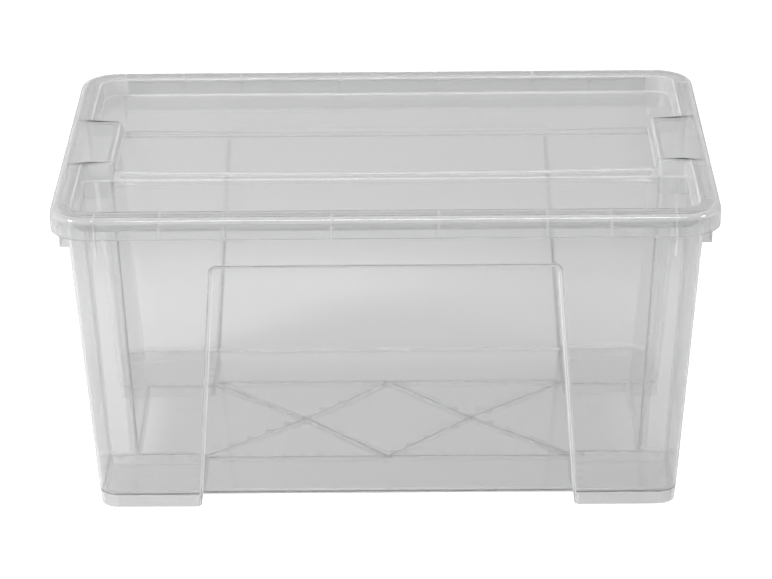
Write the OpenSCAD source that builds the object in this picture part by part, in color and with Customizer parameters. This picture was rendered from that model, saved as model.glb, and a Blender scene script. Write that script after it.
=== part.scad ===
// Clear lidded storage bin that stacks: a drafted box on four feet and a
// lift-off lid with two sunk trays that take the feet of the next bin.
// Millimetres. Origin at the middle of the footprint, +X along the long side,
// +Y to the back, +Z up.

/* [Overall size] */
// Outside length of the lid, the longest size of the bin
lid_length = 570; // [540:1:620]
// Outside width of the lid
lid_width = 390; // [370:1:430]
// Height of the closed bin, from the feet to the crown of the lid
closed_height = 283.4; // [240:0.1:330]

/* [Box] */
// Thickness of the box's walls and floor
wall = 2.2; // [1.6:0.1:3]
// Lean of each wall, in millimetres outwards for each millimetre up
draft = 0.0685; // [0.05:0.0005:0.08]
// Radius of the four upright corners
corner_radius = 16.5; // [12:0.5:20]
// Height of the feet below the floor
foot_height = 10.4; // [8:0.1:14]
// Length of each foot along the front
foot_length = 89; // [60:1:100]
// Depth of the framed panel in the front and back walls
panel_depth = 4; // [1:0.1:5]
// Gap between the top edge of that panel and the lid's skirt
panel_drop = 31.5; // [20:0.5:60]
// Half the width of the panel at its top edge
panel_half_top = 147; // [125:1:150]

/* [Grips] */
// Distance from the lid's edge to the back of the grip recess, at the top
grip_inset = 41.2; // [41.2:0.1:50]
// Half the width of the grip recess at the floor
grip_half_low = 75.5; // [60:0.5:85]
// Half the width of the grip recess at the rim
grip_half_top = 49.5; // [40:0.5:49.5]
// Depth of the turned-down lip on the short sides
grip_lip = 41; // [30:0.5:50]
// Half the length of that deep lip
grip_lip_half = 147; // [110:1:150]

/* [Lid] */
// Thickness of the lid
lid_wall = 2; // [1.5:0.1:2.2]
// Height of the lid's outer skirt
skirt_height = 20; // [18:0.5:24]
// Width of the rim round the sunk part of the lid
rim_width = 19.5; // [19.5:0.5:24]
// Depth of the two trays below the rim
tray_depth = 16.9; // [14:0.1:16.9]
// Depth of the middle band below the rim
band_depth = 11.2; // [11.2:0.1:13]
// Half the width of the middle band
band_half = 55; // [50:0.5:60]

/* [Ribs] */
// Height of the ribs below the floor
rib_height = 4.4; // [2:0.1:4.4]
// Thickness of the ribs below the floor
rib_thick = 1.6; // [1:0.1:2.4]

/* [Hidden] */

mold_gap = 0.5;                  // space between two faces that meet
lap = 0.6;                       // how far joined solids run into each other
lip_wall = 1.8;                  // thickness of the rim's turned-down lip
lip_inset = 5;                   // lid edge to the outer face of the lip
lip_drop = 19;                   // depth of the lip on the long sides
fold_radius = 5;                 // bend radius of the grip recess
arc_steps = 4;                   // facets in a small bend
corner_steps = 7;                // facets in an upright corner
step_lean = 0.8;                 // how far the wall of a step leans open
plastic = [0.84, 0.86, 0.87, 0.45];

half_l = lid_length / 2;
half_w = lid_width / 2;
floor_z = foot_height;
rim_top = closed_height - lid_wall - mold_gap;
rim_under = rim_top - wall;
skirt_z = closed_height - skirt_height;
wall_x_top = half_l - 14.3;      // outer faces of the box at the lid's skirt
wall_y_top = half_w - 14.3;
lip_x = half_l - lip_inset;
lip_y = half_w - lip_inset;
lip_corner = 30;
panel_top = skirt_z - panel_drop;
panel_step = 1.8;                // run of the slope round the panel
panel_half_low = half_x(0) - foot_length;
foot_inner_y = grip_half_low;
set_in = 0.3;                    // feet and grips stand this far in from the box

// ---------------------------------------------------------------- outlines

// Outer faces of the box at a height
function half_x(z) = wall_x_top - draft * (skirt_z - z);
function half_y(z) = wall_y_top - draft * (skirt_z - z);

// Share of the way up the box, 0 at the ground and 1 at the rim
function rise(z) = z / rim_top;
function mix(a, b, t) = a + (b - a) * t;
function grip_x(z) = mix(half_x(0) - 26.2, half_l - grip_inset, rise(z));
function grip_half(z) = mix(grip_half_low, grip_half_top, rise(z));
function panel_half(z) = mix(panel_half_low, panel_half_top, z / panel_top);

function reversed(v) = [for (i = [len(v) - 1:-1:0]) v[i]];

function arc(cx, cy, r, from, to, steps) = [
    for (i = [0:steps]) let (a = mix(from, to, i / steps))
        [cx + r * cos(a), cy + r * sin(a)]
];

// The whole outline from the quarter between +X and +Y
function mirrored(q) = concat(
    q,
    [for (p = reversed(q)) [-p[0], p[1]]],
    [for (p = q) [-p[0], -p[1]]],
    [for (p = reversed(q)) [p[0], -p[1]]]
);

// Corner of a side that steps in to x = step_x where |y| < step_y. The step's
// own wall leans open by step_lean, as a moulding needs.
function stepped_side(x, step_x, step_y, bend_in, bend_out) = concat(
    arc(step_x + bend_in, step_y - bend_in, bend_in, 180, 90, arc_steps),
    arc(x - bend_out, step_y + step_lean + bend_out, bend_out, 270, 360, arc_steps)
);

// Quarter of the box's outline at height z, s inside its outer face.
// sunk is the depth of the front panel at that height.
function box_quarter(z, s, sunk) = let (
    x = half_x(z) - s, y = half_y(z) - s, r = corner_radius - s,
    edge = panel_half(z) + s
) concat(
    stepped_side(x, grip_x(z) - s, grip_half(z) + s, fold_radius + s, fold_radius - s),
    arc(x - r, y - r, r, 0, 90, corner_steps),
    [[edge + panel_step, y], [edge, y - sunk]]
);

// The same points moved out to the rim's lip, s inside its outer face
function lip_quarter(s) = let (
    x = lip_x - s, y = lip_y - s, r = lip_corner - s, last = 2 * arc_steps + 1,
    low = grip_half(rim_top) - fold_radius, edge = panel_half(panel_top)
) concat(
    [for (i = [0:last]) [x, low + (2 * fold_radius + step_lean) * i / last]],
    arc(x - r, y - r, r, 0, 90, corner_steps),
    [[edge + panel_step, y], [edge, y]]
);

function lifted(outline, z) = [for (p = outline) [p[0], p[1], z]];
function wall_ring(z, s, sunk) = lifted(mirrored(box_quarter(z, s, sunk)), z);

function lip_ring(z, s) = lifted(mirrored(lip_quarter(s)), z);

// ------------------------------------------------------------------ solids

// One flat end of a skin: a fan round each of four pins, one to a quarter,
// and the strips between them. first is the ring's first point.
function cap(first, quarter, pin) = concat(
    [for (k = [0:3], i = [0:quarter - 2])
        let (a = first + k * quarter + i) [a, a + 1, pin + k]],
    [for (k = [0:3])
        let (a = first + (k + 1) * quarter - 1, b = first + (k + 1) % 4 * quarter,
             next = pin + (k + 1) % 4)
            each [[a, b, next], [a, next, pin + k]]],
    [[pin, pin + 1, pin + 2], [pin, pin + 2, pin + 3]]
);

// Walls between rings, each drawn anticlockwise with the same number of points
function ring_walls(n, m, last) = [
    for (i = [0:last], j = [0:n - 1])
        let (k = (i + 1) % m, a = i * n + j, b = i * n + (j + 1) % n,
             c = k * n + (j + 1) % n, d = k * n + j)
            each [[a, d, c], [a, c, b]]
];

// Solid whose skin runs through the rings in turn, closed by two flat ends.
// pin is a point in the first quarter that sees all of that quarter's outline.
module skin(rings, pin) {
    n = len(rings[0]);
    m = len(rings);
    pins = mirrored([pin]);
    polyhedron(
        concat([for (r = rings) each r],
               lifted(pins, rings[0][0][2]), lifted(pins, rings[m - 1][0][2])),
        concat(ring_walls(n, m, m - 2),
               cap(0, n / 4, n * m),
               [for (f = cap(n * (m - 1), n / 4, n * m + 4)) reversed(f)])
    );
}

// The same, with the last ring joined to the first to make a tube
module tube(rings) {
    polyhedron([for (r = rings) each r],
               ring_walls(len(rings[0]), len(rings), len(rings) - 1));
}

// Walls, floor and turned-down rim, as one closed skin
module shell() {
    skin([
        wall_ring(floor_z, 0, panel_depth),
        wall_ring(panel_top - panel_step, 0, panel_depth),
        wall_ring(panel_top, 0, 0),
        wall_ring(rim_under, 0, 0),
        lip_ring(rim_under, lip_wall),
        lip_ring(rim_top - lip_drop, lip_wall),
        lip_ring(rim_top - lip_drop, 0),
        lip_ring(rim_top, 0),
        wall_ring(rim_top, wall, 0),
        wall_ring(panel_top, wall, 0),
        wall_ring(panel_top - panel_step, wall, panel_depth),
        wall_ring(floor_z + wall, wall, panel_depth)
    ], pin = [0.85 * grip_x(0), 1.3 * grip_half_low]);
}

// Outline of one foot at height z, s inside its outer face
function foot_ring(z, s) = let (
    x = half_x(z) - set_in - s, y = half_y(z) - set_in - s,
    x0 = panel_half(z) + s, y0 = foot_inner_y + s, r = corner_radius - s,
    b = fold_radius - s
) lifted(concat(
    arc(x - b, y0 + b, b, 270, 360, arc_steps),
    arc(x - r, y - r, r, 0, 90, corner_steps),
    arc(x0 + b, y - b, b, 90, 180, arc_steps),
    arc(x0 + b, y0 + b, b, 180, 270, arc_steps)
), z);

// Hollow foot: a low skirt that hangs from the floor
module foot() {
    tube([
        foot_ring(0, 0),
        foot_ring(floor_z + lap, 0),
        foot_ring(floor_z + lap, wall),
        foot_ring(0, wall)
    ]);
}

// Straight rib below the floor between two points
module rib(from, to, thick = rib_thick) {
    run = to - from;
    translate([from[0], from[1], floor_z - rib_height])
        rotate([0, 0, atan2(run[1], run[0])])
            translate([0, -thick / 2, 0])
                cube([norm(run), thick, rib_height + lap]);
}

// Crossed ribs that keep the floor flat, with a rib along the front and back
module floor_ribs() {
    reach = panel_half(0) + wall;
    side = grip_half_low + 8;
    knot = reach * 0.455;
    for (s = [-1, 1]) {
        rib([-reach, s * side], [reach, s * side]);
        for (t = [-1, 1]) {
            rib([0, s * side], [t * knot, 0]);
            rib([t * knot, 0], [t * reach, s * side]);
        }
    }
}

// Plate in an upright plane that joins the wall to the rim's lip.
// out_top is the lip's inner face and out_low is where the plate ends below.
module web(wall_low, wall_top, low_z, out_low, out_top, thick) {
    rotate([90, 0, 0])
        linear_extrude(thick, center = true)
            polygon([
                [wall_low, low_z], [out_low, low_z], [out_top, rim_top - lip_drop],
                [out_top, rim_under + lap], [wall_top, rim_under + lap]
            ]);
}

// Deep lip on each short side, closed at both ends, to lift the bin by
module grips() {
    low = rim_top - grip_lip;
    mid = wall / 2;
    face = lip_x - set_in;
    end = 2;
    for (m = [0, 1])
        mirror([m, 0, 0]) {
            translate([face - lip_wall, -grip_lip_half, low])
                cube([lip_wall, 2 * grip_lip_half, grip_lip - lip_drop + lap]);
            for (s = [-1, 1])
                translate([0, s * (grip_lip_half - end / 2 - set_in), 0])
                    web(half_x(low) - mid, half_x(rim_under) - mid, low,
                        face - lap, face - lap, end);
        }
}

// Tapered gussets under the rim of the front and back walls
module rim_gussets() {
    low = rim_top - grip_lip + 1;
    mid = wall / 2;
    out = lip_y - lip_wall + lap;
    place = half_l - 39;
    for (s = [-1, 1], m = [0, 1])
        mirror([0, m, 0])
            translate([s * place, 0, 0])
                rotate([0, 0, 90])
                    web(half_y(low) - mid, half_y(rim_under) - mid, low,
                        half_y(low) + 0.3, out, 2.2);
}

module bin() {
    color(plastic) {
        shell();
        for (mx = [0, 1], my = [0, 1])
            mirror([mx, 0, 0])
                mirror([0, my, 0])
                    foot();
        floor_ribs();
        grips();
        rim_gussets();
    }
}

// --------------------------------------------------------------------- lid

lid_corner = 35;
crown_radius = 5.5;
tray_x = half_l - rim_width;
tray_y = half_w - rim_width;
tray_corner = 16;
tab_x = half_l - 46.5;           // inner edge of the tabs over the grips
tab_half = grip_half_top + 6.5;
rib_places = [45.3, 136.5, 190.5, 245.6];
side_rib_places = [-156, -72, 0, 72, 156];
skirt_rib_reach = 2;
skirt_rib_thick = 1.2;
skirt_rib_rise = 3;              // the ribs stop this far above the skirt's edge

function plain_quarter(s) =
    arc(half_l - lid_corner, half_w - lid_corner, lid_corner - s, 0, 90, corner_steps);

// Block with a rounded crown, s inside the lid's outer face all round
module crowned_block(s, base) {
    r = crown_radius - s;
    skin(concat(
        [lifted(mirrored(plain_quarter(s)), base)],
        [for (i = [0:arc_steps]) let (a = 90 * i / arc_steps)
            lifted(mirrored(plain_quarter(s + r * (1 - cos(a)))),
                   closed_height - s - r * (1 - sin(a)))]
    ), pin = [half_l - lid_corner, half_w - lid_corner]);
}

// The sunk part's outline, grown outwards by g
module sunk_outline(g = 0) {
    polygon(mirrored(concat(
        stepped_side(tray_x + g, tab_x + g, tab_half - g, fold_radius - g, fold_radius + g),
        arc(tray_x - tray_corner, tray_y - tray_corner, tray_corner + g, 0, 90, corner_steps)
    )));
}

module band_strip(half) {
    square([lid_length, 2 * half], center = true);
}

// Everything below the lid's upper face inside the rim, down to the trays
module pan(g, drop) {
    translate([0, 0, closed_height - tray_depth - drop])
        linear_extrude(tray_depth + lid_wall)
            difference() {
                sunk_outline(g);
                band_strip(band_half - g);
            }
    translate([0, 0, closed_height - band_depth - drop])
        linear_extrude(band_depth + lid_wall)
            sunk_outline(g);
}

// Space below the rim, between the skirt and the pan
module rim_channel() {
    difference() {
        crowned_block(lid_wall, skirt_z - lap);
        pan(lid_wall, lid_wall);
    }
}

// Short ribs on the inside of the skirt, which centre the lid on the bin.
// Each is drawn where the skirt's inner face crosses an axis, then turned.
module skirt_rib(face) {
    translate([-skirt_rib_thick / 2, face - skirt_rib_reach, skirt_z + skirt_rib_rise])
        cube([skirt_rib_thick, skirt_rib_reach + lap,
              skirt_height - crown_radius - skirt_rib_rise]);
}

module skirt_ribs() {
    for (s = [0, 180])
        rotate([0, 0, s]) {
            for (m = [-1, 1], x = rib_places)
                translate([m * x, 0, 0])
                    skirt_rib(half_w - lid_wall);
            for (y = side_rib_places)
                translate([0, y, 0])
                    rotate([0, 0, 90])
                        skirt_rib(half_l - lid_wall);
        }
}

module lid() {
    color(plastic) {
        difference() {
            crowned_block(0, skirt_z);
            rim_channel();
            pan(0, 0);
        }
        skirt_ribs();
    }
}

bin();
lid();
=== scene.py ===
import math

import bmesh
import bpy
import numpy as np
from mathutils import Matrix, Vector
from mathutils.geometry import delaunay_2d_cdt


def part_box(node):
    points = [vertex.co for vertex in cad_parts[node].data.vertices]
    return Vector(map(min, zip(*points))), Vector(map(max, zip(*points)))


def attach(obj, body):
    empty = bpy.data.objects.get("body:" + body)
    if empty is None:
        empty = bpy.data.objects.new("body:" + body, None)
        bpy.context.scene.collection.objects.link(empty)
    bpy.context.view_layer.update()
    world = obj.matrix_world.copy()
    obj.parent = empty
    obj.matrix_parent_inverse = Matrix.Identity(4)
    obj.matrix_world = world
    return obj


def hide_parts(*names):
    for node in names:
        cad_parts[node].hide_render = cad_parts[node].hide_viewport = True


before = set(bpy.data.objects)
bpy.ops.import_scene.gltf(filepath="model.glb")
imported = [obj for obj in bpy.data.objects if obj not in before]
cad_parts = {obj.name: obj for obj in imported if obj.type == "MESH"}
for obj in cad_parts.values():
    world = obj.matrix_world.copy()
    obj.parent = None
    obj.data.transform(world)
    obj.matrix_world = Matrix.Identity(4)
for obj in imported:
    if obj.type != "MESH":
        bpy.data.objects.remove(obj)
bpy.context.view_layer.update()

MM = 0.001

# ---------------------------------------------------------------- sizes, in mm
# The frame gives the overall sizes; the rest repeats part.scad's values.
bin_low, bin_high = (np.array(v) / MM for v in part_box("bin"))
lid_low, lid_high = (np.array(v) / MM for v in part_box("lid"))
HALF_L, HALF_W = lid_high[0], lid_high[1]
CROWN = lid_high[2]
SKIRT_Z = lid_low[2]
RIM_TOP = bin_high[2]
WALL, LID_WALL = 2.2, 2.0
DRAFT = 0.0685
OVERHANG = 14.3  # of the lid past the wall, at the height of the skirt's edge
WALL_X, WALL_Y = HALF_L - OVERHANG, HALF_W - OVERHANG
CORNER, FOLD = 16.5, 5.0
FLOOR = 10.4
RIM_UNDER = RIM_TOP - WALL
LIP_X, LIP_Y, LIP_CORNER, LIP_WALL = HALF_L - 5, HALF_W - 5, 30.0, 1.8
LIP_LOW = RIM_TOP - 19
GRIP_LOW, GRIP_REACH = RIM_TOP - 41, 147.0
GRIP_HALF_LOW, GRIP_HALF_TOP = 75.5, 49.5
GUSSET_X = 246.0
PANEL_HALF_TOP = 147.0
PANEL_TOP = SKIRT_Z - 31.5
PANEL_DEPTH, PANEL_STEP, PANEL_ROUND = 4.0, 1.8, 6.0
STEP_LEAN = 0.8
LID_CORNER, CROWN_R = 35.0, 5.5
TRAY_X, TRAY_Y, TRAY_CORNER = HALF_L - 19.5, HALF_W - 19.5, 16.0
TAB_X, TAB_HALF = HALF_L - 46.5, 56.0
TRAY_Z, BAND_Z, BAND_RISE = CROWN - 16.9, CROWN - 11.2, 2.6
BAND_HALF, BAND_STEP, BAND_DEPTH = 54.6, 1.9, 6.5
SINK_DEPTH, SINK_WIDTH = 0.16, 0.8
FLOOR_RIB_DEPTH, FLOOR_RIB_SIDE = 4.4, 83.5
KNOT_PLACE, KNOT_GAP, KNOT_HALF = 0.455, 2.6, 4.8
MARK_RADIUS = 6
RIB_X = (45.3, 136.5, 190.5, 245.6)
RIB_Y = (-156.0, -72.0, 0.0, 72.0, 156.0)


def half_x(z):
    return WALL_X - DRAFT * (SKIRT_Z - z)


def half_y(z):
    return WALL_Y - DRAFT * (SKIRT_Z - z)


def mix(a, b, t):
    return a + (b - a) * t


def grip_x(z):
    return mix(half_x(0) - 26.2, HALF_L - 41.2, z / RIM_TOP)


def grip_half(z):
    return mix(GRIP_HALF_LOW, GRIP_HALF_TOP, z / RIM_TOP)


def panel_half(z):
    return mix(half_x(0) - 89.0, PANEL_HALF_TOP, z / PANEL_TOP)


# ------------------------------------------------------------------- outlines


def rounded(path, steps, closed=False):
    """Path of (x, y, radius) corners with each corner turned into an arc of
    that many steps. An open path's two ends only give directions."""
    pts = np.array(path, float)
    n = len(pts)
    out = []
    for i in range(n) if closed else range(1, n - 1):
        p, v, q = pts[i - 1][:2], pts[i][:2], pts[(i + 1) % n][:2]
        u = (v - p) / np.linalg.norm(v - p)
        w = (q - v) / np.linalg.norm(q - v)
        turn = math.atan2(u[0] * w[1] - u[1] * w[0], u @ w)
        r = max(pts[i][2], 0.3)
        start = v - u * r * math.tan(abs(turn) / 2)
        side = math.copysign(1, turn)
        centre = start + side * r * np.array([-u[1], u[0]])
        k = steps[i - 1] if not closed else steps
        for t in np.linspace(0, turn, k + 1):
            d = start - centre
            out.append(centre + [d[0] * math.cos(t) - d[1] * math.sin(t),
                                 d[0] * math.sin(t) + d[1] * math.cos(t)])
    return np.array(out)


def mirrored(q):
    """Whole outline from the quarter between +X and +Y, columns x, y, z."""
    r = q[::-1]
    return np.concatenate([q, r * [-1, 1, 1], q * [-1, -1, 1], r * [1, -1, 1]])


def step_profile(run, drop, r_low, r_high):
    """Step from height drop at 0 to height 0 at run, with both bends round.
    Returned as two rows for np.interp."""
    pts = rounded([(-20, drop, 0), (0, drop, r_low), (run, 0, r_high), (20, 0, 0)],
                  (8, 8))
    return pts[:, 0], pts[:, 1]


# --------------------------------------------------------------------- meshes


def new_object(name, verts, faces):
    mesh = bpy.data.meshes.new(name)
    mesh.from_pydata([tuple(v) for v in np.asarray(verts) * MM], [], faces)
    mesh.validate()
    obj = bpy.data.objects.new(name, mesh)
    bpy.context.scene.collection.objects.link(obj)
    return obj


def outward(obj):
    """Turns the faces outwards if the body came out inside out."""
    bm = bmesh.new()
    bm.from_mesh(obj.data)
    bmesh.ops.recalc_face_normals(bm, faces=bm.faces)
    bm.to_mesh(obj.data)
    bm.free()


def loft_faces(n, rings, closed=False):
    """Quads that join rings of n points each, one ring to the next."""
    faces = []
    for i in range(rings if closed else rings - 1):
        first, second = i * n, (i + 1) % rings * n
        for j in range(n):
            after = (j + 1) % n
            faces.append((first + j, first + after, second + after, second + j))
    return faces


def inside(ring, pts, gap):
    """Which points lie inside the ring and at least gap from its sides."""
    a, b = ring, np.roll(ring, -1, axis=0)
    x, y = pts[:, 0:1], pts[:, 1:2]
    crosses = (a[:, 1] > y) != (b[:, 1] > y)
    dy = np.where(a[:, 1] == b[:, 1], 1, b[:, 1] - a[:, 1])
    hit = crosses & (x < a[:, 0] + (y - a[:, 1]) * (b[:, 0] - a[:, 0]) / dy)
    ab = b - a
    length = np.maximum((ab ** 2).sum(1), 1e-12)
    t = np.clip(((x - a[:, 0]) * ab[:, 0] + (y - a[:, 1]) * ab[:, 1]) / length, 0, 1)
    dist = np.hypot(x - a[:, 0] - t * ab[:, 0], y - a[:, 1] - t * ab[:, 1]).min(1)
    return (hit.sum(1) % 2 == 1) & (dist > gap)


def fill(ring, xs, ys, height, gap, first, spare, upward):
    """Triangles that close a ring, with a grid of inner points on them."""
    grid = np.array([(x, y) for y in ys for x in xs])
    grid = grid[inside(ring[:, :2], grid, gap)]
    flat = np.concatenate([ring[:, :2], grid])
    n = len(ring)
    edges = [(i, (i + 1) % n) for i in range(n)]
    out, _, tris, origin, _, _ = delaunay_2d_cdt(
        [Vector(p) for p in flat], edges, [], 1, 1e-6)
    name = {}
    for i, o in enumerate(origin):
        k = o[0]
        name[i] = first + k if k < n else spare + k - n
    faces = []
    for t in tris:
        a, b, c = (np.array(out[i]) for i in t)
        up = (b[0] - a[0]) * (c[1] - a[1]) - (b[1] - a[1]) * (c[0] - a[0]) > 0
        f = tuple(name[i] for i in t)
        faces.append(f if up == upward else f[::-1])
    return np.column_stack([grid, height(grid[:, 0], grid[:, 1])]), faces


def skin(name, rings, xs, ys, height_low, height_high, gap):
    """Closed body: rings in order, with a filled grid inside the first and the
    last. The first ring's fill faces down, the last ring's faces up."""
    n, m = len(rings[0]), len(rings)
    verts = np.concatenate(rings)
    low, f_low = fill(rings[0], xs, ys, height_low, gap, 0, len(verts), False)
    verts = np.concatenate([verts, low])
    high, f_high = fill(rings[-1], xs, ys, height_high, gap, n * (m - 1),
                        len(verts), True)
    verts = np.concatenate([verts, high])
    obj = new_object(name, verts, loft_faces(n, m) + f_low + f_high)
    outward(obj)
    return obj


def prism(name, outline, thick, place):
    """Outline of (a, b) points made into a plate; place maps (a, b, t) to x, y, z."""
    n = len(outline)
    verts = [place(a, b, t) for t in (-thick / 2, thick / 2) for a, b in outline]
    faces = [tuple(range(n))[::-1], tuple(range(n, 2 * n))]
    faces += [(i, (i + 1) % n, n + (i + 1) % n, n + i) for i in range(n)]
    obj = new_object(name, verts, faces)
    outward(obj)
    return obj


def bake(obj):
    """Replaces the mesh by what its modifiers make of it."""
    dg = bpy.context.evaluated_depsgraph_get()
    mesh = bpy.data.meshes.new_from_object(obj.evaluated_get(dg))
    obj.modifiers.clear()
    obj.data = mesh


def union(base, others):
    for other in others:
        mod = base.modifiers.new("join", "BOOLEAN")
        mod.operation = "UNION"
        mod.solver = "MANIFOLD"
        mod.object = other
        bake(base)
        bpy.data.objects.remove(other)
    return base


MOST_BENT = 0.3  # tighter bends than this get no more haze


def mark_bends(obj, milky):
    """Gives each face a value for how tightly the surface bends there, per mm,
    or the value that milky gives it where the plastic is milkier than that."""
    bm = bmesh.new()
    bm.from_mesh(obj.data)
    layer = bm.faces.layers.float.new("bend")
    for face in bm.faces:
        wide = face.calc_area() * (2 if len(face.verts) == 3 else 1) / MM
        bent = max(edge.calc_face_angle(0.0) * edge.calc_length() / max(wide, 1e-9)
                   for edge in face.edges)
        centre = face.calc_center_median() / MM
        face[layer] = max(min(bent, MOST_BENT), milky(*centre, face.normal))
    bm.to_mesh(obj.data)
    bm.free()


def finish_shading(obj, milky, angle=32):
    mark_bends(obj, milky)
    mesh = obj.data
    for poly in mesh.polygons:
        poly.use_smooth = True
    mesh.set_sharp_from_angle(angle=math.radians(angle))
    mod = obj.modifiers.new("normals", "WEIGHTED_NORMAL")
    mod.keep_sharp = True
    mod.weight = 60


# ------------------------------------------------------------------------ bin

FOLD_STEPS, CORNER_STEPS = 8, 16
PANEL_D, PANEL_T = step_profile(PANEL_STEP, PANEL_DEPTH, 0.9, 0.9)
INNER_SHIFT = WALL * math.tan(math.atan2(PANEL_DEPTH, PANEL_STEP) / 2)
COLUMNS = np.concatenate([np.arange(1.0, -3.0, -0.25), np.arange(-3.0, -9.0, -0.6),
                          [-12.0]])


def panel_sink(x, z, shift):
    """Depth of the front panel at a place on the wall."""
    edge = panel_half(z) + PANEL_STEP + shift
    dx = x - edge + PANEL_ROUND
    dz = z - PANEL_TOP - shift + PANEL_ROUND
    d = (np.minimum(np.maximum(dx, dz), 0)
         + np.hypot(np.maximum(dx, 0), np.maximum(dz, 0)) - PANEL_ROUND)
    return np.interp(d + PANEL_STEP, PANEL_D, PANEL_T)


def wall_ring(z, s, inner):
    """Ring round the box at a height, s inside the outer face."""
    shift = INNER_SHIFT if inner else 0.0
    x, y = half_x(z) - s, half_y(z) - s
    gx, gh = grip_x(z) - s, grip_half(z) + s
    bends = rounded([(gx, 0, 0), (gx, gh, FOLD + s), (x, gh + STEP_LEAN, FOLD - s),
                     (x, y, CORNER - s), (0, y, 0)],
                    (FOLD_STEPS, FOLD_STEPS, CORNER_STEPS))
    cols = panel_half(z) + PANEL_STEP + shift + COLUMNS
    front = np.column_stack([cols, y - panel_sink(cols, z, shift)])
    quarter = np.concatenate([bends, front])
    return mirrored(np.column_stack([quarter, np.full(len(quarter), z)]))


def lip_ring(z, s):
    """The same points moved out to the rim's lip, s inside its outer face."""
    x, y = LIP_X - s, LIP_Y - s
    low = grip_half(RIM_TOP) - FOLD
    ys = np.linspace(low, low + 2 * FOLD + STEP_LEAN, 2 * FOLD_STEPS + 2)
    side = np.column_stack([np.full(len(ys), x), ys])
    corner = rounded([(x, 0, 0), (x, y, LIP_CORNER - s), (0, y, 0)], (CORNER_STEPS,))
    cols = panel_half(PANEL_TOP) + PANEL_STEP + COLUMNS
    front = np.column_stack([cols, np.full(len(cols), y)])
    quarter = np.concatenate([side, corner, front])
    return mirrored(np.column_stack([quarter, np.full(len(quarter), z)]))


def bend(steps=5):
    return np.linspace(0, math.pi / 2, steps + 1)


def floor_bow(x, y):
    return 0.7 * np.clip(1 - (x / 240) ** 2, 0, 1) * np.clip(1 - (y / 165) ** 2, 0, 1)


def box_shell():
    rings = []
    r = 2.0
    rings += [wall_ring(FLOOR + r * (1 - math.cos(t)), r * (1 - math.sin(t)), False)
              for t in bend()]
    rows = np.concatenate([np.arange(-9.0, -3.0, 0.6), np.arange(-3.0, 1.1, 0.25)])
    rings += [wall_ring(PANEL_TOP + d, 0, False) for d in rows]
    r = 1.6
    rings += [wall_ring(RIM_UNDER - r + r * math.sin(t), -r * (1 - math.cos(t)), False)
              for t in bend()]
    r = 1.4
    rings += [lip_ring(RIM_UNDER - r + r * math.cos(t), LIP_WALL + r * (1 - math.sin(t)))
              for t in bend()]
    r = LIP_WALL / 2
    rings += [lip_ring(LIP_LOW + r - r * math.sin(t), r + r * math.cos(t))
              for t in np.linspace(0, math.pi, 9)]
    r = 2.2
    rings += [lip_ring(RIM_TOP - r + r * math.sin(t), r * (1 - math.cos(t)))
              for t in bend(7)]
    r = 1.2
    rings += [wall_ring(RIM_TOP - r + r * math.cos(t), WALL - r * (1 - math.sin(t)), True)
              for t in bend()]
    rings += [wall_ring(PANEL_TOP + INNER_SHIFT + d, WALL, True) for d in rows[::-1]]
    r = 3.5
    rings += [wall_ring(FLOOR + WALL + r * (1 - math.sin(t)),
                        WALL + r * (1 - math.cos(t)), True) for t in bend(7)]
    xs, ys = np.arange(-240, 241, 16.0), np.arange(-168, 169, 16.0)
    return skin("bin_body", rings, xs, ys,
                lambda x, y: FLOOR + floor_bow(x, y),
                lambda x, y: FLOOR + WALL + floor_bow(x, y), 6.0)


def foot(mx, my):
    """Hollow foot: a low skirt with a rounded lower edge."""
    def ring(z, s):
        x, y = half_x(z) - 0.3 - s, half_y(z) - 0.3 - s
        near_x, near_y = panel_half(z) + s, GRIP_HALF_LOW + s
        pts = rounded([(x, near_y, FOLD - s), (x, y, CORNER - s),
                       (near_x, y, FOLD - s), (near_x, near_y, FOLD - s)],
                      FOLD_STEPS, closed=True)
        return np.column_stack([pts, np.full(len(pts), z)]) * [mx, my, 1]

    top, r = FLOOR + 0.6, 0.8
    rings = [ring(top, 0)]
    rings += [ring(r - r * math.sin(t), r * (1 - math.cos(t))) for t in bend(4)]
    rings += [ring(r - r * math.cos(t), WALL - r * (1 - math.sin(t))) for t in bend(4)]
    rings += [ring(top, WALL)]
    obj = new_object("foot", np.concatenate(rings),
                     loft_faces(len(rings[0]), len(rings), closed=True))
    outward(obj)
    return obj


def blade(p, q, low, thick=1.6, top=FLOOR + 1.6):
    """Upright rib between two places on the floor's underside."""
    p, q = np.array(p, float), np.array(q, float)
    along = (q - p) / np.linalg.norm(q - p)
    side = np.array([-along[1], along[0]])
    h, r = thick / 2, 0.5
    section = [(-h, top), (-h, low + r), (-h + 0.15, low + 0.15), (-h + r, low),
               (h - r, low), (h - 0.15, low + 0.15), (h, low + r), (h, top)]
    return prism("blade", section, np.linalg.norm(q - p),
                 lambda a, b, t: (*((p + q) / 2 + side * a + along * t), b))


def floor_ribs():
    low = FLOOR - FLOOR_RIB_DEPTH
    reach, side = panel_half(0) + WALL, FLOOR_RIB_SIDE
    knot = reach * KNOT_PLACE
    parts = []
    for s in (-1, 1):
        parts.append(blade((-reach, s * side), (reach, s * side), low))
        for t in (-1, 1):
            parts.append(blade((0, s * side), (t * knot, 0), low))
            parts.append(blade((t * knot, 0), (t * reach, s * side), low))
    for x, y in ((0, side), (0, -side), (knot, 0), (-knot, 0)):
        for d in (-KNOT_GAP, KNOT_GAP):
            parts.append(blade((x - KNOT_HALF, y + d), (x + KNOT_HALF, y + d), low, 1.3))
    return parts


def web(place, wall_low, wall_top, low, out_low, out_top, thick, r):
    """Upright plate that joins the wall to the rim's lip."""
    outline = rounded([(wall_low, low, 0.3), (out_low, low, r), (out_top, LIP_LOW, 2),
                       (out_top, RIM_UNDER + 0.6, 0.3), (wall_top, RIM_UNDER + 0.6, 0.3)],
                      4, closed=True)
    return prism("web", outline, thick, place)


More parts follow.
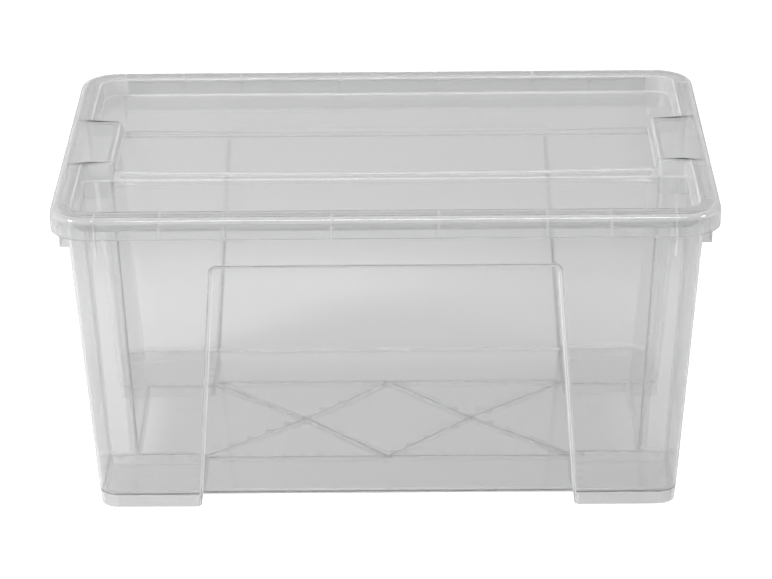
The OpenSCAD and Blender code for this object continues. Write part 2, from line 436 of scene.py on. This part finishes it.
def grips():
    parts = []
    face = LIP_X - 0.3
    for m in (-1, 1):
        h, r = LIP_WALL, 0.6
        section = rounded([(face - h, GRIP_LOW, r), (face, GRIP_LOW, r),
                           (face, LIP_LOW + 0.6, 0.3), (face - h, LIP_LOW + 0.6, 0.3)],
                          4, closed=True)
        parts.append(prism("grip", section, 2 * GRIP_REACH,
                           lambda a, b, t, m=m: (m * a, t, b)))
        for s in (-1, 1):
            y = s * (GRIP_REACH - 1.3)
            parts.append(web(lambda a, b, t, m=m, y=y: (m * a, y + t, b),
                             half_x(GRIP_LOW) - 1.1, half_x(RIM_UNDER) - 1.1,
                             GRIP_LOW + 0.05, face - 0.6, face - 0.6, 2.0, 0.4))
    return parts


def gussets():
    parts = []
    low = GRIP_LOW + 1
    for s in (-1, 1):
        for m in (-1, 1):
            parts.append(web(lambda a, b, t, m=m, s=s: (s * GUSSET_X + t, m * a, b),
                             half_y(low) - 1.1, half_y(RIM_UNDER) - 1.1, low,
                             half_y(low) + 1.6, LIP_Y - LIP_WALL + 0.6, 2.2, 1.0))
    return parts


def floor_marks():
    """Round ejector marks, a little proud of the floor."""
    parts = []
    n = 40
    a = np.linspace(0, 2 * math.pi, n + 1)[:-1]
    for x, y in ((215, -118), (-215, -118), (190, 20), (-190, 20), (215, 128), (-215, 128)):
        z = FLOOR + WALL + floor_bow(x, y)
        rings = [np.column_stack([x + r * np.cos(a), y + r * np.sin(a),
                                  np.full(n, z + d)])
                 for r, d in ((MARK_RADIUS, -0.8), (MARK_RADIUS, 0.02),
                              (MARK_RADIUS - 0.7, 0.14))]
        ends = [tuple(range(n))[::-1], tuple(range(2 * n, 3 * n))]
        obj = new_object("mark", np.concatenate(rings), loft_faces(n, 3) + ends)
        outward(obj)
        parts.append(obj)
    return parts


def under_floor(x, y, z, normal):
    """The ribs under the floor are milkier than the walls."""
    rib = abs(x) < panel_half(0) - 1 and -FLOOR_RIB_DEPTH - 0.1 < z - FLOOR < -0.1
    return 0.6 if rib else 0.0


def build_bin():
    extras = [foot(mx, my) for mx in (-1, 1) for my in (-1, 1)]
    extras += floor_ribs() + grips() + gussets() + floor_marks()
    first = union(extras[0], extras[1:])
    body = union(box_shell(), [first])
    finish_shading(body, under_floor)
    return body


# ------------------------------------------------------------------------ lid

TAB_STEPS = 20
BAND_D, BAND_T = step_profile(BAND_STEP, BAND_DEPTH, 2.0, 1.3)
LID_SHIFT = LID_WALL * math.tan(math.atan2(BAND_DEPTH, BAND_STEP) / 2)
LID_X = np.array(sorted(set(
    [round(r + d, 2) for r in RIB_X[:3] for d in (-3, -1.2, -0.6, 0, 0.6, 1.2, 3)]
    + [round(RIB_X[3] + d, 2) for d in (-3, -1.2, -0.6, 0, 0.6, 1.2, 2.6)]
    + [20.0, 70.0, 90.0, 110.0, 155.0, 170.0, 210.0, 225.0])))[::-1]


def sink(x):
    """Sink marks where ribs meet the rim."""
    return SINK_DEPTH * sum(np.exp(-((np.abs(x) - r) / SINK_WIDTH) ** 2) for r in RIB_X)


def sheet_z(x, y, under):
    """Height of the sunk part: two trays and the raised band between them."""
    shift = LID_SHIFT if under else 0.0
    step = np.interp(np.abs(y) + shift - BAND_HALF, BAND_D, BAND_T / BAND_T.max())
    band = BAND_Z + BAND_RISE * np.clip(np.abs(x) / TAB_X, 0, 1) ** 2.2
    tray = TRAY_Z + 0.5 * (x / 260) ** 2
    return mix(tray, band, step) - (LID_WALL if under else 0)


def rim_outline(s, sinking=0.0):
    x, y = HALF_L - s, HALF_W - s
    ys = np.linspace(TAB_HALF - 7, TAB_HALF + 7, TAB_STEPS + FOLD_STEPS + 2)
    side = np.column_stack([np.full(len(ys), x), ys])
    corner = rounded([(x, 0, 0), (x, y, LID_CORNER - s), (0, y, 0)], (CORNER_STEPS,))
    front = np.column_stack([LID_X, y - sinking * sink(LID_X)])
    return np.concatenate([side, corner, front])


def sunk_outline(s):
    """Outline of the sunk part, s inside its edge at the rim."""
    x, y = TRAY_X - s, TRAY_Y - s
    tx, th = TAB_X - s, TAB_HALF + s
    bends = rounded([(tx, 0, 0), (tx, th, FOLD + s), (x, th + STEP_LEAN, FOLD - s),
                     (x, y, TRAY_CORNER - s), (0, y, 0)],
                    (TAB_STEPS, FOLD_STEPS, CORNER_STEPS))
    cols = LID_X * min(1, (x - TRAY_CORNER - 0.4) / LID_X[0])
    front = np.column_stack([cols, np.full(len(cols), y)])
    return np.concatenate([bends, front])


def at(outline, z):
    return mirrored(np.column_stack([outline, np.broadcast_to(z, len(outline))]))


def rim_rings(s0, top, r):
    """From the skirt's edge over the crown, s0 inside the lid's outer face."""
    edge = 0.5
    outer = s0 == 0
    rings = []
    for t in bend(3):
        s = edge - edge * math.sin(t) if outer else s0 - edge + edge * math.sin(t)
        rings.append(at(rim_outline(s), SKIRT_Z + edge * (1 - math.cos(t))))
    for t in bend(10):
        s = s0 + r * (1 - math.cos(t))
        dip = sink(rim_outline(s)[:, 0]) * (rim_outline(s)[:, 1] > HALF_W - 12)
        dip = dip * (0.4 + 0.6 * math.sin(t)) * (1 if outer else 0)
        rings.append(at(rim_outline(s, 1 - math.sin(t)), top - r + r * math.sin(t) - dip))
    return rings


def pan_rings(grow, top, r_top, r_low, under):
    """From the rim down the wall of the sunk part to its floor."""
    lean = 1.2
    end = sunk_outline(lean + r_low * 0.9 - grow)
    floor = sheet_z(end[:, 0], end[:, 1], under)
    rings = []
    for t in bend(7):
        s = -grow - r_top * (1 - math.sin(t))
        rings.append(at(sunk_outline(s), top - r_top * (1 - math.cos(t))))
    for t in bend(7):
        s = lean - grow - 0.1 * r_low + r_low * (1 - math.cos(t))
        rings.append(at(sunk_outline(s), floor + r_low * (1 - math.sin(t))))
    return rings


def pan_wall(x, y, z, normal):
    """The upright walls of the sunk part are milkier than its flat parts."""
    upright = abs(normal.z) < 0.35 and TRAY_Z + 1.5 < z < CROWN - 2
    if not upright or abs(x) > TRAY_X + 2.5 or abs(y) > TRAY_Y + 2.5:
        return 0.0
    return 0.36 if abs(x) > TAB_X + 1 else 0.18


def lid_rib(face, place):
    """Short rib inside the skirt, with a low ridge below the rim."""
    top = CROWN - LID_WALL
    section = rounded([(face + 0.6, top - 9, 0.3), (face + 0.6, top + 0.4, 0.3),
                       (face - 15, top + 0.4, 0.3), (face - 15, top - 0.3, 0.2),
                       (face - 2.2, top - 0.3, 1.0), (face - 1.4, top - 9, 0.6)],
                      4, closed=True)
    return prism("rib", section, 1.2, place)


def build_lid():
    outer = rim_rings(0, CROWN, CROWN_R)
    outer += pan_rings(0, CROWN, 2.4, 1.6, False)
    inner = rim_rings(LID_WALL, CROWN - LID_WALL, CROWN_R - LID_WALL)
    inner += pan_rings(LID_WALL, CROWN - LID_WALL, 0.8, 3.4, True)
    rings = inner[::-1] + outer
    xs = np.arange(-256, 257, 8.0)
    shoulder = np.concatenate([np.arange(51.0, 53.4, 0.6), np.arange(53.4, 58.4, 0.25),
                               np.arange(58.4, 60.5, 0.6)])
    wide = np.concatenate([np.arange(0, 50, 10.0), np.arange(62, 172, 10.0)])
    half = np.concatenate([shoulder, wide])
    ys = np.unique(np.concatenate([-half, half]))
    body = skin("lid_body", rings, xs, ys, lambda x, y: sheet_z(x, y, True),
                lambda x, y: sheet_z(x, y, False), 1.4)
    parts = []
    for s in (-1, 1):
        parts += [lid_rib(HALF_W - LID_WALL,
                          lambda a, b, t, s=s, x=x, m=m: (m * x + t, s * a, b))
                  for m in (-1, 1) for x in RIB_X]
        parts += [lid_rib(HALF_L - LID_WALL,
                          lambda a, b, t, s=s, y=y: (s * a, y + t, b))
                  for y in RIB_Y]
    joined = union(parts[0], parts[1:])
    union(body, [joined])
    finish_shading(body, pan_wall)
    return body


# ------------------------------------------------------------------ materials


def add_node(tree, kind, inputs, operation=None):
    """New shader node; each input named gets a number or a link."""
    node = tree.nodes.new("ShaderNode" + kind)
    if operation:
        node.operation = operation
    for key, value in inputs.items():
        if isinstance(value, bpy.types.NodeSocket):
            tree.links.new(value, node.inputs[key])
        else:
            node.inputs[key].default_value = value
    return node


def map_range(tree, value, from_min, from_max, to_min, to_max):
    node = add_node(tree, "MapRange", {
        "Value": value, "From Min": from_min, "From Max": from_max,
        "To Min": to_min, "To Max": to_max})
    return node.outputs["Result"]


def clear_plastic(name, tint, haze, edge_haze, bend_haze, rough, wave):
    """Clear plastic. The hazes are how much of the light it scatters: on its
    faces, where they are seen along the surface, and in tight bends and ribs."""
    mat = bpy.data.materials.new(name)
    mat.use_nodes = True
    tree = mat.node_tree
    bsdf = tree.nodes["Principled BSDF"]
    bsdf.inputs["Base Color"].default_value = (*tint, 1.0)
    bsdf.inputs["IOR"].default_value = 1.49

    facing = add_node(tree, "LayerWeight", {"Blend": 0.5})
    curve = add_node(tree, "Math", {0: facing.outputs["Facing"], 1: 3.0}, "POWER")
    clear = map_range(tree, curve.outputs[0], 0, 1, 1.0 - haze, 1.0 - edge_haze)
    tight = tree.nodes.new("ShaderNodeAttribute")
    tight.attribute_name = "bend"
    white = map_range(tree, tight.outputs["Fac"], 0.08, 0.6, 1.0, 1.0 - bend_haze)
    through = add_node(tree, "Math", {0: clear, 1: white}, "MULTIPLY")
    tree.links.new(through.outputs[0], bsdf.inputs["Transmission Weight"])

    coord = tree.nodes.new("ShaderNodeTexCoord").outputs["Object"]
    fine = add_node(tree, "TexNoise", {"Vector": coord, "Scale": 22.0, "Detail": 4.0})
    spread = map_range(tree, fine.outputs["Fac"], 0, 1, rough * 0.6, rough * 1.5)
    tree.links.new(spread, bsdf.inputs["Roughness"])
    flow = add_node(tree, "TexNoise", {"Vector": coord, "Scale": 7.0, "Detail": 1.0})
    bump = add_node(tree, "Bump", {"Height": flow.outputs["Fac"], "Strength": 1.0,
                                   "Distance": wave})
    tree.links.new(bump.outputs["Normal"], bsdf.inputs["Normal"])
    return mat


bin_obj = build_bin()
lid_obj = build_lid()
box_plastic = clear_plastic("clear_box", tint=(0.995, 0.997, 0.997), haze=0.05,
                            edge_haze=0.55, bend_haze=0.95, rough=0.04, wave=0.0002)
# The lid's tint is darker than the box's: painted shade, keeping the lid darker than the
# box under this lighting
shaded_lid_plastic = clear_plastic("clear_lid_shaded", tint=(0.93, 0.933, 0.933), haze=0.04,
                            edge_haze=0.35, bend_haze=0.6, rough=0.05, wave=0.0002)
for obj, mat in ((bin_obj, box_plastic), (lid_obj, shaded_lid_plastic)):
    obj.data.materials.clear()
    obj.data.materials.append(mat)
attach(bin_obj, "bin")
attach(lid_obj, "lid")
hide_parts("bin")
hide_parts("lid")

# --------------------------------------------------------------------- camera
scene = bpy.context.scene
pitch, yaw, roll = math.radians(21.99), math.radians(-0.44), math.radians(-0.56)
forward = Vector((math.sin(yaw) * math.cos(pitch), math.cos(yaw) * math.cos(pitch),
                  -math.sin(pitch)))
level = Vector((math.cos(yaw), -math.sin(yaw), 0))
steep = level.cross(forward)
right = level * math.cos(roll) + steep * math.sin(roll)
up = steep * math.cos(roll) - level * math.sin(roll)
camera = bpy.data.objects.new("camera", bpy.data.cameras.new("camera"))
scene.collection.objects.link(camera)
camera.data.sensor_width = 36
camera.data.lens = 162.98
camera.location = (0.02141, -2.93704, 1.32534)
camera.rotation_mode = "QUATERNION"
camera.rotation_quaternion = Matrix((right, up, -forward)).transposed().to_quaternion()
scene.camera = camera

# ---------------------------------------------------------------------- stage
bpy.ops.mesh.primitive_plane_add(size=30, location=(0, 0, -0.0005))
floor = bpy.context.object
floor.name = "floor"
mat = bpy.data.materials.new("floor")
mat.use_nodes = True
tree = mat.node_tree
paper = tree.nodes["Principled BSDF"]
paper.inputs["Base Color"].default_value = (0.44, 0.44, 0.44, 1)
paper.inputs["Roughness"].default_value = 0.9
paper.inputs["Specular IOR Level"].default_value = 0.0
paper.inputs["Emission Color"].default_value = (1, 1, 1, 1)
# Painted light and shade: it glows more in front and under the box, lightening its shadow,
# than behind, where the dimmer floor is painted shade seen through the upper box and lid;
# and a little more on the left, painted light from the left
coord = tree.nodes.new("ShaderNodeTexCoord").outputs["Object"]
place = add_node(tree, "SeparateXYZ", {"Vector": coord})
painted_light_glow = add_node(tree, "Math", {
    0: map_range(tree, place.outputs["Y"], 0.35, 0.6, 0.29, 0.05),
    1: map_range(tree, place.outputs["X"], -0.35, 0.35, 0.03, -0.04)}, "ADD")
tree.links.new(painted_light_glow.outputs[0], paper.inputs["Emission Strength"])
# The camera sees it white; the plastic sees it grey
glow = add_node(tree, "Emission", {"Strength": 0.8})
lit = add_node(tree, "AddShader", {0: paper.outputs[0], 1: glow.outputs[0]})
path = tree.nodes.new("ShaderNodeLightPath")
either = add_node(tree, "MixShader", {0: path.outputs["Is Camera Ray"],
                                      1: paper.outputs[0], 2: lit.outputs[0]})
tree.links.new(either.outputs[0], tree.nodes["Material Output"].inputs[0])
floor.data.materials.append(mat)

# An evenly lit studio, slightly dimmer overhead, where the softbox is
world = bpy.data.worlds.new("world")
scene.world = world
world.use_nodes = True
tree = world.node_tree
background = tree.nodes["Background"]
background.inputs["Color"].default_value = (1, 1, 1, 1)
direction = tree.nodes.new("ShaderNodeTexCoord").outputs["Generated"]
split = add_node(tree, "SeparateXYZ", {"Vector": direction})
sky = map_range(tree, split.outputs["Z"], 0.1, 0.9, 0.72, 0.55)
tree.links.new(sky, background.inputs["Strength"])


def softbox(name, place, aim, width, height, power):
    data = bpy.data.lights.new(name, "AREA")
    data.shape = "RECTANGLE"
    data.size, data.size_y = width, height
    data.energy = power
    obj = bpy.data.objects.new(name, data)
    scene.collection.objects.link(obj)
    obj.location = place
    obj.rotation_mode = "QUATERNION"
    obj.rotation_quaternion = (Vector(aim) - Vector(place)).to_track_quat("-Z", "Y")


softbox("overhead", (0, 0.2, 3.2), (0, 0, 0), 5.0, 4.0, 24)
softbox("left", (-2.4, -1.3, 1.6), (0, 0, 0.15), 0.8, 0.8, 50)
softbox("right", (2.7, -1.2, 1.4), (0, 0, 0.15), 0.6, 0.6, 20)
softbox("front", (0.3, -2.4, 2.6), (0, 0, 0.15), 1.6, 0.5, 28)
scene.cycles.max_bounces = 32
scene.cycles.transmission_bounces = 32
scene.cycles.glossy_bounces = 12
scene.cycles.diffuse_bounces = 8
scene.view_settings.view_transform = "Standard"
